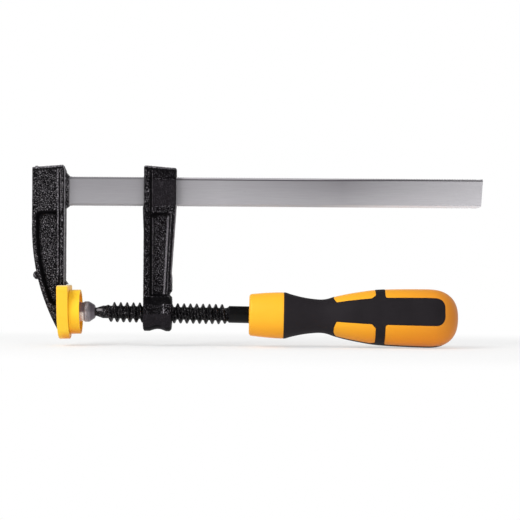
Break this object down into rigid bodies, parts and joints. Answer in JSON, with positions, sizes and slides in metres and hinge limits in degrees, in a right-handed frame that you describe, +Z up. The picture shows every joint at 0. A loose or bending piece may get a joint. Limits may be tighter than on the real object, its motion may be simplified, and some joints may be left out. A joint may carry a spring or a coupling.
{
  "type": "quick release bar clamp",
  "caption": "F-shaped bar clamp: a sliding arm on a flat toothed bar carries a threaded spindle with a ball-jointed swivel pad and a soft-grip handle.",
  "frame": {"origin": "middle of the fixed jaw's clamping face, on the spindle's line, with the clamp closed", "axes": "+X along the bar from the fixed jaw to its free end, +Z up from the spindle to the bar, Y across the thickness"},
  "size_m": [0.2129, 0.0277, 0.0854],
  "materials": {
    "bar_steel": "smooth drawn steel with a thin bright plating",
    "coated_iron": "black wrinkled powder coat",
    "yellow_plastic": "smooth moulded",
    "bright_steel": "turned and pressed",
    "black_steel": "black oxide, lightly oiled",
    "amber_plastic": "satin moulded",
    "soft_grip": "matte soft-touch"
  },
  "bodies": {
    "frame": {"bar": "bar_steel", "fixed_jaw": "coated_iron", "fixed_jaw_cap": "yellow_plastic"},
    "sliding_jaw": {"sliding_jaw": "coated_iron"},
    "pad": {"swivel_pad": "bright_steel", "pad_cap": "yellow_plastic"},
    "screw": {"spindle": "black_steel", "handle_core": "amber_plastic", "handle_grip": "soft_grip"}
  },
  "joints": [
    {"name": "jaw_slide", "type": "slide", "parent": "frame", "child": "sliding_jaw", "axis": [1, 0, 0], "range_m": [0, 0.14]},
    {"name": "screw_feed", "type": "slide", "parent": "sliding_jaw", "child": "pad", "axis": [0.9999, 0, -0.0131], "range_m": [0, 0.021]},
    {"name": "screw_turn", "type": "hinge", "parent": "pad", "child": "screw", "pos_m": [0.0084, 0, 0], "axis": [0.9999, 0, -0.0131], "range_deg": [0, 2520]}
  ],
  "couplings": [
    {"joint": "screw_feed", "follows": "screw_turn", "m_per_rad": 0.00047746}
  ]
}
